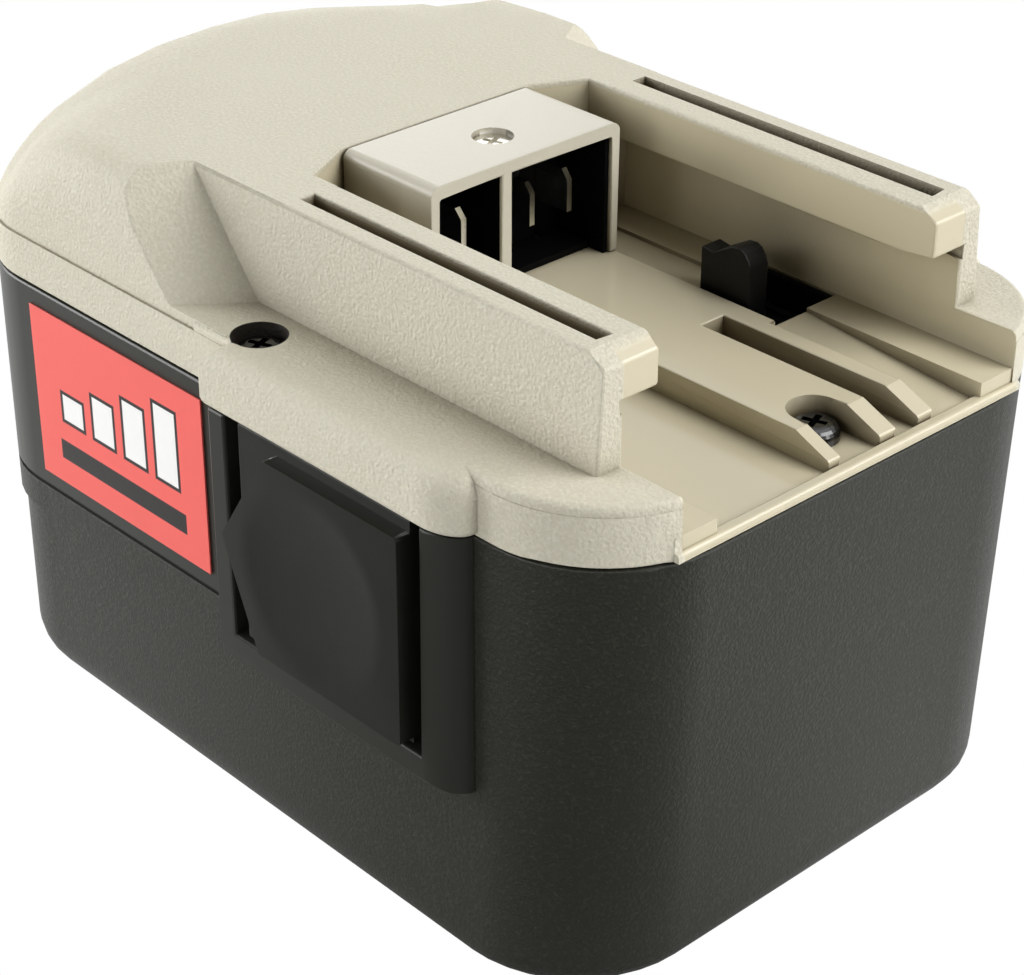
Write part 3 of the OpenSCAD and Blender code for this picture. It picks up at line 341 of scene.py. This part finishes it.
finishes = {
    "cover": coverMaterial(),
    "case": caseMaterial(),
    "label": labelMaterial(),
    # the hood carries painted shade in its creases
    "hood": smoothPlastic("beigeHood", linear(194, 189, 172), linear(204, 200, 184), roughness=0.36,
                          paintsCreaseShade=True),
    "button": smoothPlastic("blackButton", linear(27, 28, 23), linear(34, 35, 29), roughness=0.34,
                            grain=0.06, grainSize=0.0004),
    "hook": smoothPlastic("blackHook", linear(5, 5, 5), linear(9, 9, 9), roughness=0.4, gloss=0.2),
    # the carrier and the guide are black parts, and their near-black, almost sheenless finish is also painted
    # shade under the hood and in the latch openings
    "carrier": smoothPlastic("blackCarrierAndShade", linear(2, 2, 2), linear(4, 4, 4), roughness=0.6, gloss=0.06),
    "guide": smoothPlastic("blackGuideAndShade", linear(2, 2, 2), linear(4, 4, 4), roughness=0.6, gloss=0.06),
    "screwBlack": smoothPlastic("oiledScrew", linear(5, 5, 5), linear(9, 9, 9), roughness=0.14,
                                grain=0.03, gloss=0.7),
    "sleeve": smoothPlastic("cellSleeve", linear(22, 92, 74), linear(30, 108, 88), roughness=0.25,
                            grain=0.04),
    "foam": smoothPlastic("foamPad", linear(70, 70, 68), linear(96, 96, 93), roughness=0.9,
                          grain=0.6, grainSize=0.0006),
    "card": smoothPlastic("pressedCard", linear(176, 158, 120), linear(192, 176, 140), roughness=0.8,
                          grain=0.3, grainSize=0.0008),
    "leadRed": smoothPlastic("redLead", linear(165, 40, 34), linear(182, 52, 44), roughness=0.45,
                             grain=0.08),
    "leadBlack": smoothPlastic("blackLead", linear(22, 22, 22), linear(34, 34, 33), roughness=0.45,
                               grain=0.08),
    "leadYellow": smoothPlastic("yellowLead", linear(205, 170, 52), linear(222, 188, 70), roughness=0.45,
                                grain=0.08),
    "blade": drawnMetal("platedBlade", linear(252, 252, 248), roughness=0.12, stretch=(1, 1, 12)),
    "screwBright": drawnMetal("zincScrew", linear(225, 222, 212), roughness=0.22),
    "spring": drawnMetal("springSteel", linear(190, 190, 188), roughness=0.25),
    "strap": drawnMetal("nickelStrap", linear(205, 203, 195), roughness=0.3, stretch=(12, 1, 1))}
print("finishes: %d" % len(finishes))


# shells: CAD copies with rounded edges
rounding = {
    "leastTurn": 38, "tightest": 22, "flatWithin": 0.6, "smoothBelow": 25,  # angles in degrees
    "shortest": 2.5, "narrowest": 1.6, "clearance": 2.5,  # as shares of the rounding's width
    "mergeWithin": 2e-6, "broadFace": 0.0004,
    "turnedOver": -0.3, "leak": 0.9,  # how far two normals agree, from -1 to 1
    "segments": 2, "tries": 6}


# whether an edge stands out, is long enough, and has room beside it for a rounding
def takesRounding(edge, width):
    r = rounding
    if len(edge.link_faces) != 2 or not edge.is_convex:
        return False
    if edge.calc_face_angle(0) < math.radians(r["leastTurn"]) or edge.calc_length() < r["shortest"] * width:
        return False
    for face in edge.link_faces:
        if 2 * face.calc_area() < r["narrowest"] * width * face.calc_perimeter():
            return False
    for vert in edge.verts:
        along = edge.other_vert(vert).co - vert.co
        for other in vert.link_edges:
            turn = along.angle(other.other_vert(vert).co - vert.co, 0)
            if other != edge and turn < math.radians(r["tightest"]):
                return False
    return True


# places where a rounded copy has turned over or left the surface it came from
def strayPlaces(shape, surface, width):
    places = []
    pieces = shape.copy()
    bmesh.ops.triangulate(pieces, faces=pieces.faces[:])
    pieces.normal_update()
    for face in pieces.faces:
        _, normal, _, distance = surface.find_nearest(face.calc_center_median())
        if distance > width or face.normal.dot(normal) < rounding["turnedOver"]:
            places += [vert.co.copy() for vert in face.verts]
    pieces.free()
    return places


# whether an edge keeps clear of every one of the places
def awayFrom(edge, places, reach):
    a, b = [vert.co for vert in edge.verts]
    run = b - a
    for place in places:
        share = min(max((place - a).dot(run) / run.length_squared, 0), 1)
        if (a + share * run - place).length < reach:
            return False
    return True


# the shape with its outstanding edges rounded, leaving out those where a rounding has no room
def roundEdges(shape, width):
    surface = BVHTree.FromBMesh(shape)
    shape.normal_update()
    picked = [e.index for e in shape.edges if takesRounding(e, width)]
    lastTry = rounding["tries"] - 1
    for attempt in range(rounding["tries"]):
        trial = shape.copy()
        trial.edges.ensure_lookup_table()
        bmesh.ops.bevel(trial, geom=[trial.edges[i] for i in picked], offset=width, offset_type="OFFSET",
                        segments=rounding["segments"], profile=0.5, affect="EDGES", clamp_overlap=False,
                        loop_slide=False)
        places = strayPlaces(trial, surface, width)
        if not places:
            break
        picked = [i for i in picked if awayFrom(shape.edges[i], places, rounding["clearance"] * width)]
        if attempt < lastTry:
            trial.free()
    print("rounded edges: %d, stray places left: %d" % (len(picked), len(places)))
    return trial


# the piece's modifiers made into its mesh
def finishMesh(piece):
    depsgraph = bpy.context.evaluated_depsgraph_get()
    done = bpy.data.meshes.new_from_object(piece.evaluated_get(depsgraph), depsgraph=depsgraph)
    piece.modifiers.clear()
    piece.data = done


# broad faces take their own normal wherever shading has leaked in from a neighbour
def flattenFaces(mesh):
    normals = [corner.vector.copy() for corner in mesh.corner_normals]
    for face in mesh.polygons:
        corners = [mesh.vertices[i].co for i in face.vertices]
        outline = sum((a - b).length for a, b in zip(corners, corners[1:] + corners[:1]))
        if 2 * face.area < rounding["broadFace"] * outline:
            continue
        for i in face.loop_indices:
            if normals[i].dot(face.normal) < rounding["leak"]:
                normals[i] = face.normal.copy()
    mesh.normals_split_custom_set(normals)


# a copy of a CAD node that stands for it, with outstanding edges rounded and broad faces shaded flat
def shellCopy(nodeName, pieceName, body, material, width):
    flatWithin = math.radians(rounding["flatWithin"])
    mesh = bpy.data.meshes.new(pieceName)
    shape = bmesh.new()
    shape.from_mesh(nodes[nodeName].data)
    bmesh.ops.remove_doubles(shape, verts=shape.verts, dist=rounding["mergeWithin"])
    bmesh.ops.dissolve_limit(shape, angle_limit=flatWithin, verts=shape.verts, edges=shape.edges)
    shape.edges.index_update()
    shape.edges.ensure_lookup_table()
    rounded = roundEdges(shape, width)
    rounded.to_mesh(mesh)
    rounded.free()
    shape.free()
    mesh.materials.clear()
    mesh.materials.append(material)
    mesh.shade_smooth()
    mesh.set_sharp_from_angle(angle=math.radians(rounding["smoothBelow"]))
    piece = bpy.data.objects.new(pieceName, mesh)
    bpy.context.scene.collection.objects.link(piece)
    weighted = piece.modifiers.new("flatFaces", "WEIGHTED_NORMAL")
    weighted.mode = "FACE_AREA"
    weighted.keep_sharp = True
    finishMesh(piece)
    flattenFaces(piece.data)
    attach(piece, body)
    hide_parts(nodeName)
    return piece


shells = {
    "top_cover": ("coverShell", "pack", "beige_plastic", "cover", 0.00034),
    "lower_case": ("caseShell", "pack", "dark_plastic", "case", 0.00034),
    "terminal_hood": ("hoodShell", "pack", "beige_smooth", "hood", 0.00028),
    "release_button_left": ("buttonLeft", "button_left", "black_plastic", "button", 0.0003),
    "release_button_right": ("buttonRight", "button_right", "black_plastic", "button", 0.0003),
    "latch_bolt_left": ("boltLeft", "bolt_left", "black_plastic", "hook", 0.0002),
    "latch_bolt_right": ("boltRight", "bolt_right", "black_plastic", "hook", 0.0002),
    "label_left": ("labelLeft", "pack", "coral_label", "label", 0.00004),
    "label_right": ("labelRight", "pack", "coral_label", "label", 0.00004)}
for nodeName, (pieceName, body, slot, finish, width) in shells.items():
    shell = shellCopy(nodeName, pieceName, body, finishes[finish], width)
    print("shell %s: %d faces" % (pieceName, len(shell.data.polygons)))


# springs and leads, built as node trees

def newGeometryTree(name, sockets):
    tree = bpy.data.node_groups.new(name, "GeometryNodeTree")
    for socketName, kind in [("Geometry", "NodeSocketGeometry")] + sockets:
        tree.interface.new_socket(name=socketName, in_out="INPUT", socket_type=kind)
    tree.interface.new_socket(name="Geometry", in_out="OUTPUT", socket_type="NodeSocketGeometry")
    given = addNode(tree, "NodeGroupInput")
    return tree, given.outputs


def closeTree(tree, geometry, finish):
    whole = addNode(tree, "GeometryNodeRealizeInstances", {"Geometry": geometry})
    smooth = addNode(tree, "GeometryNodeSetShadeSmooth", {"Geometry": whole.outputs[0]})
    dressed = addNode(tree, "GeometryNodeSetMaterial", {"Geometry": smooth.outputs[0], "Material": finish})
    addNode(tree, "NodeGroupOutput", {0: dressed.outputs[0]})


def circle(tree, radius, sides):
    ring = addNode(tree, "GeometryNodeCurvePrimitiveCircle", {"Resolution": sides, "Radius": radius})
    return ring.outputs[0]


def moved(tree, geometry, **places):
    return addNode(tree, "GeometryNodeTransform", {"Geometry": geometry, **places}).outputs[0]


# a round wire or lead along its line, closed at both ends
def swept(tree, line, radius, sides):
    return addNode(tree, "GeometryNodeCurveToMesh", {
        "Curve": line, "Profile Curve": circle(tree, radius, sides), "Fill Caps": True}).outputs[0]


sweepSteps = {"turn": 32, "wireSides": 10, "lead": 70, "leadSides": 14}


# round wire wound up the Z axis between two closed end turns, then turned and moved to its place
def springTree():
    tree, given = newGeometryTree("coilSpring", [
        ("Radius", "NodeSocketFloat"), ("Wire", "NodeSocketFloat"), ("Length", "NodeSocketFloat"),
        ("Turns", "NodeSocketFloat"), ("Turn", "NodeSocketRotation"), ("Place", "NodeSocketVector"),
        ("Finish", "NodeSocketMaterial")])
    rise = mathNode(tree, "SUBTRACT", given["Length"], given["Wire"])
    half = mathNode(tree, "MULTIPLY", given["Wire"], 0.5)
    wound = addNode(tree, "GeometryNodeCurveSpiral", {
        "Resolution": sweepSteps["turn"], "Rotations": given["Turns"], "Start Radius": given["Radius"],
        "End Radius": given["Radius"], "Height": rise}).outputs[0]
    ring = circle(tree, given["Radius"], sweepSteps["turn"])
    lift = addNode(tree, "ShaderNodeCombineXYZ", {"Z": rise}).outputs[0]
    lines = addNode(tree, "GeometryNodeJoinGeometry")
    for part in (wound, ring, moved(tree, ring, Translation=lift)):
        tree.links.new(part, lines.inputs[0])
    wire = swept(tree, lines.outputs[0], half, sweepSteps["wireSides"])
    foot = addNode(tree, "ShaderNodeCombineXYZ", {"Z": half}).outputs[0]
    raised = moved(tree, wire, Translation=foot)
    placed = moved(tree, raised, Translation=given["Place"], Rotation=given["Turn"])
    closeTree(tree, placed, given["Finish"])
    return tree


# a round lead swept along the points of its own mesh
def leadTree():
    tree, given = newGeometryTree("leadSweep", [
        ("Radius", "NodeSocketFloat"), ("Finish", "NodeSocketMaterial")])
    line = addNode(tree, "GeometryNodeMeshToCurve", {"Mesh": given["Geometry"]}).outputs[0]
    bent = addNode(tree, "GeometryNodeCurveSplineType", {"Curve": line}, spline_type="CATMULL_ROM")
    even = addNode(tree, "GeometryNodeResampleCurve", {"Curve": bent.outputs[0], "Count": sweepSteps["lead"]})
    tube = swept(tree, even.outputs[0], given["Radius"], sweepSteps["leadSides"])
    closeTree(tree, tube, given["Finish"])
    return tree


def runTree(piece, tree, values):
    made = piece.modifiers.new(tree.name, "NODES")
    made.node_group = tree
    for item in tree.interface.items_tree:
        if item.in_out == "INPUT" and item.name in values:
            made[item.identifier] = values[item.name]
    finishMesh(piece)


def newPiece(name, points=(), edges=()):
    mesh = bpy.data.meshes.new(name)
    mesh.from_pydata(points, edges, [])
    piece = bpy.data.objects.new(name, mesh)
    bpy.context.scene.collection.objects.link(piece)
    return piece


coilTree = springTree()
springs = {
    "button_spring": {"joint": "button_%s_press", "wire": 0.0006, "turns": 6.0, "keep": 0.635, "axis": 1},
    "bolt_spring": {"joint": "bolt_%s_drop", "wire": 0.00045, "turns": 6.0, "keep": 0.53, "axis": 2}}
for kind, spec in springs.items():
    for side in ("left", "right"):
        nodeName = "%s_%s" % (kind, side)
        low, high = [Vector(c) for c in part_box(nodeName)]
        middle = (low + high) / 2
        k = spec["axis"]
        outward = -1 if side == "left" and k == 1 else 1
        turn = (0, 0, 0) if k == 2 else (-outward * math.pi / 2, 0, 0)
        place = middle.copy()
        place[k] = low[k] if outward > 0 else high[k]
        piece = newPiece(kind.replace("_spring", "Spring") + side.capitalize())
        runTree(piece, coilTree, {
            "Radius": (high.x - low.x - spec["wire"]) / 2, "Wire": spec["wire"], "Length": high[k] - low[k],
            "Turns": spec["turns"], "Turn": turn, "Place": tuple(place), "Finish": finishes["spring"]})
        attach(piece, "pack")
        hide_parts(nodeName)
        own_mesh(piece)
print("springs wound")

# routes of the leads in millimetres, from the cells' tabs to the contacts' tails
sweepTree = leadTree()
leads = {
    "positive_lead": {"finish": "leadRed", "slot": "red_insulation", "radius": 0.0012, "routes": [[
        (-34.2, -22.8, 46.8), (-34.2, -22.8, 49.5), (-32.2, -21.8, 53.2), (-26.2, -17.8, 54.2),
        (-16, -10.4, 53.3), (-11, -7.4, 53.3), (-5.9, -7.4, 53.3)]]},
    "negative_lead": {"finish": "leadBlack", "slot": "black_insulation", "radius": 0.0012, "routes": [[
        (34.2, 22.8, 46.8), (34.2, 22.8, 49.5), (34.2, 19.8, 52.2), (33.2, 13.1, 52.2), (31.2, 11.1, 52.2),
        (26.2, 11.1, 52.2), (4.7, 10.1, 53.3), (-3.1, 10.1, 53.3)]]},
    "sensor_lead": {"finish": "leadYellow", "slot": "yellow_insulation", "radius": 0.0006, "routes": [[
        (-22.8, -12.6, 47.6), (-22.8, -12.6, 50.5), (-20.8, -11.6, 51.3), (-13.3, 2.8, 53.3),
        (-9.3, 3.8, 53.3), (-5.8, 3.8, 53.3)], [
        (-22.8, -10.2, 47.6), (-22.8, -10.2, 50.5), (-20.8, -9.2, 53.7), (-13.3, 9.1, 56.1),
        (-9.3, 10.1, 56.1), (-5.8, 10.1, 56.1)]]}}
for nodeName, spec in leads.items():
    points = []
    edges = []
    for route in spec["routes"]:
        start = len(points)
        points += [Vector(p) * mm for p in route]
        edges += [(start + i, start + i + 1) for i in range(len(route) - 1)]
    piece = newPiece(nodeName.replace("_lead", "Lead"), points, edges)
    runTree(piece, sweepTree, {"Radius": spec["radius"], "Finish": finishes[spec["finish"]]})
    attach(piece, "pack")
    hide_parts(nodeName)
print("leads swept")


padForm = {"cuts": 15, "rimSlope": 6, "rimThickness": 0.72, "ripple": 0.04, "rippleU": 7, "rippleV": 9,
           "rippleStart": 2, "smoothBelow": 50}


# foam pads: soft slabs with crowned faces and pulled-in rims, inside their CAD boxes
def foamPad(nodeName, pieceName):
    f = padForm
    low, high = [Vector(c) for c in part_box(nodeName)]
    size = high - low
    thin = min(range(3), key=lambda k: size[k])
    shape = bmesh.new()
    bmesh.ops.create_cube(shape, size=1.0)
    bmesh.ops.subdivide_edges(shape, edges=shape.edges[:], cuts=f["cuts"], use_grid_fill=True)
    for vert in shape.verts:
        u, v = [vert.co[k] * 2 for k in range(3) if k != thin]
        rim = min(1.0, (1 - max(abs(u), abs(v))) * f["rimSlope"])
        wave = math.sin(f["rippleU"] * u + f["rippleStart"]) * math.sin(f["rippleV"] * v) + 1
        crown = f["rimThickness"] + (1 - f["rimThickness"]) * rim ** 0.5
        vert.co[thin] *= crown - f["ripple"] * wave * rim
        vert.co = Vector([(low[k] + high[k]) / 2 + vert.co[k] * size[k] for k in range(3)])
    piece = newPiece(pieceName)
    shape.to_mesh(piece.data)
    shape.free()
    piece.data.materials.append(finishes["foam"])
    piece.data.shade_smooth()
    piece.data.set_sharp_from_angle(angle=math.radians(f["smoothBelow"]))
    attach(piece, "pack")
    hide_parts(nodeName)


foamPad("bottom_pad", "padBottom")
foamPad("side_pad_left", "padLeft")
foamPad("side_pad_right", "padRight")
print("pads made")

# CAD nodes that keep their shape
plainNodes = {
    "hood_screw": "screwBright", "cover_screws": "screwBlack", "terminal_carrier": "carrier",
    "terminal_positive": "blade", "terminal_negative": "blade", "terminal_sensor": "blade",
    "cell_straps_top": "strap", "cell_straps_bottom": "strap", "top_insulator": "card",
    "temperature_sensor": "carrier", "latch_guide_left": "guide", "latch_guide_right": "guide"}
cellCount = 12
for number in range(1, cellCount + 1):
    plainNodes["cell_%d" % number] = "sleeve"
for nodeName, finish in plainNodes.items():
    mesh = nodes[nodeName].data
    mesh.materials.clear()
    mesh.materials.append(finishes[finish])
print("plain nodes: %d" % len(plainNodes))

# floor, light and world; each light by its azimuth and elevation in degrees
studio = {"floorSize": 4.0, "floorDrop": 0.0002, "floorTone": 0.8, "skyGloss": 0.9, "ambient": 0.01,
          # the floor seen in reflections, painted dim in front: far and near strength, blend and direction of
          # the painted shade
          "farGloss": 0.95, "nearGloss": 0.08, "glossFrom": 0.0, "glossTo": 0.075,
          "glossAlong": (0.5, -0.866, 0), "lampDistance": 1.0, "lampAim": (0, 0, 0.05)}
softBoxes = {
    "rightBox": {"azimuth": 30, "elevation": 38, "size": 0.8, "power": 11.7},
    "rearLeftBox": {"azimuth": 210, "elevation": 12, "size": 0.55, "power": 8.8},
    "leftBox": {"azimuth": 270, "elevation": 12, "size": 0.55, "power": 2.8},
    "rearBox": {"azimuth": 150, "elevation": 12, "size": 0.55, "power": 2.7},
    "topBox": {"azimuth": 45, "elevation": 65, "size": 0.8, "power": 2.0}}


# rays that see the white backdrop straight or through glass, and rays that see it as a sheen
def backdropRays(tree):
    path = addNode(tree, "ShaderNodeLightPath").outputs
    seen = mathNode(tree, "MAXIMUM", path["Is Camera Ray"], path["Is Transmission Ray"])
    return seen, path["Is Glossy Ray"]


def makeFloor():
    s = studio
    bpy.ops.mesh.primitive_plane_add(size=s["floorSize"], location=(0, 0, -s["floorDrop"]))
    floor = bpy.context.object
    floor.name = "floor"
    material, tree = newMaterial("paleFloor")
    seen, inSheen = backdropRays(tree)
    matte = addNode(tree, "ShaderNodeBsdfDiffuse", {"Color": (s["floorTone"],) * 3 + (1,)})
    # painted shade: in the pack's sheen the floor is bright behind it and painted dim in front, a painted
    # shadow where a dark card's shade would fall
    forward = addNode(tree, "ShaderNodeVectorMath", {0: objectPlace(tree), 1: s["glossAlong"]},
                      operation="DOT_PRODUCT").outputs["Value"]
    glow = mixValue(tree, ramp(tree, forward, s["glossFrom"], s["glossTo"]), s["farGloss"], s["nearGloss"])
    paintedFloorSheen = addNode(tree, "ShaderNodeEmission", {"Color": (1, 1, 1, 1), "Strength": glow})
    white = addNode(tree, "ShaderNodeEmission", {"Color": (1, 1, 1, 1), "Strength": 1.0})
    unseen = addNode(tree, "ShaderNodeMixShader", {0: inSheen, 1: matte.outputs[0], 2: paintedFloorSheen.outputs[0]})
    shown = addNode(tree, "ShaderNodeMixShader", {0: seen, 1: unseen.outputs[0], 2: white.outputs[0]})
    closeMaterial(tree, shown)
    floor.data.materials.append(material)


def makeWorld():
    world = bpy.data.worlds.new("studioWorld")
    bpy.context.scene.world = world
    world.use_nodes = True
    sky = world.node_tree
    sky.nodes.clear()
    seen, inSheen = backdropRays(sky)
    unseen = mixValue(sky, inSheen, studio["ambient"], studio["skyGloss"])
    glow = addNode(sky, "ShaderNodeBackground", {
        "Color": (1, 1, 1, 1), "Strength": mixValue(sky, seen, unseen, 1.0)})
    out = addNode(sky, "ShaderNodeOutputWorld")
    sky.links.new(glow.outputs[0], out.inputs["Surface"])


def makeLight(name, box):
    lamp = bpy.data.lights.new(name, "AREA")
    lamp.shape = "SQUARE"
    lamp.size = box["size"]
    lamp.energy = box["power"]
    light = bpy.data.objects.new(name, lamp)
    bpy.context.scene.collection.objects.link(light)
    a = math.radians(box["azimuth"])
    e = math.radians(box["elevation"])
    outward = Vector((math.cos(a) * math.cos(e), math.sin(a) * math.cos(e), math.sin(e)))
    place = Vector(studio["lampAim"]) + studio["lampDistance"] * outward
    turn = outward.to_track_quat("Z", "Y").to_matrix().to_4x4()
    light.matrix_world = Matrix.Translation(place) @ turn


makeFloor()
makeWorld()
for name, box in softBoxes.items():
    makeLight(name, box)
print("studio lit")
